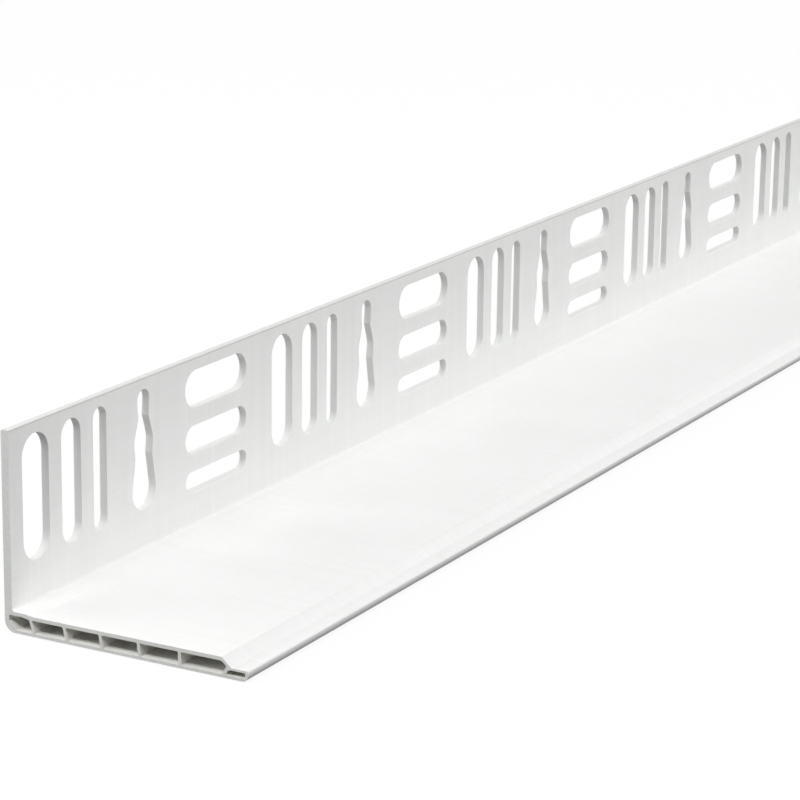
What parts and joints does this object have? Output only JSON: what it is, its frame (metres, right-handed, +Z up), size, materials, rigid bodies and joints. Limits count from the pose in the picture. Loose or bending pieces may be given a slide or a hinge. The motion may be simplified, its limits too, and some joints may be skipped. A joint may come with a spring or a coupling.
{
  "type": "plinth profile",
  "caption": "White PVC base rail for insulated walls: punched wall flange, hollow leg that carries the boards and a thin drip lip along its free edge.",
  "frame": {"origin": "on the underside, at the middle of the rail's length and reach", "axes": "+X along the rail, +Y towards the wall behind the flange, +Z up from the underside; the leg and its drip lip point to -Y"},
  "size_m": [2, 0.06, 0.044],
  "materials": {
    "white_pvc": "satin"
  },
  "bodies": {
    "root": {"plinth_profile": "white_pvc"}
  },
  "joints": []
}
